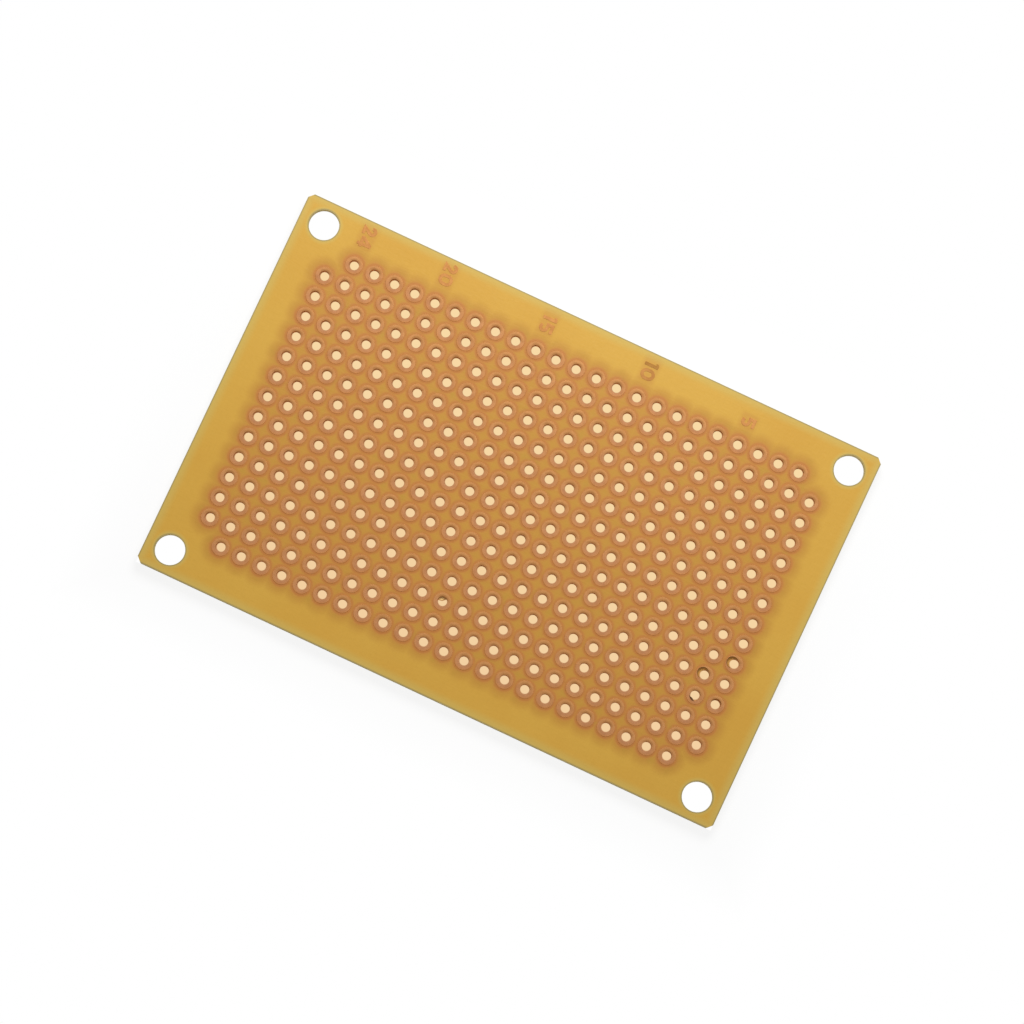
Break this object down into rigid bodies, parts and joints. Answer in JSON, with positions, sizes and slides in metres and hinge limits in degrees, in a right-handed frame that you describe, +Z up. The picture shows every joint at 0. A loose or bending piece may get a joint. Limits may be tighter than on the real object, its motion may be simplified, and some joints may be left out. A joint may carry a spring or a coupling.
{
  "type": "prototype board",
  "caption": "Flat perforated circuit board with a ring of copper foil round every component hole and a plain mounting hole in each corner.",
  "frame": {"origin": "middle of the bare underside, where the board rests", "axes": "+X along the long edges, towards the end where the column numbers start; +Y along the short edges, towards the numbered margin; +Z up, out of the copper side"},
  "size_m": [0.072, 0.0466, 0.0016],
  "materials": {
    "laminate": "satin",
    "copper": "satin"
  },
  "bodies": {
    "root": {"laminate": "laminate", "pad_column_01": "copper", "pad_column_02": "copper", "pad_column_03": "copper", "pad_column_04": "copper", "pad_column_05": "copper", "pad_column_06": "copper", "pad_column_07": "copper", "pad_column_08": "copper", "pad_column_09": "copper", "pad_column_10": "copper", "pad_column_11": "copper", "pad_column_12": "copper", "pad_column_13": "copper", "pad_column_14": "copper", "pad_column_15": "copper", "pad_column_16": "copper", "pad_column_17": "copper", "pad_column_18": "copper", "pad_column_19": "copper", "pad_column_20": "copper", "pad_column_21": "copper", "pad_column_22": "copper", "pad_column_23": "copper", "pad_column_24": "copper", "pad_column_25": "copper"}
  },
  "joints": []
}
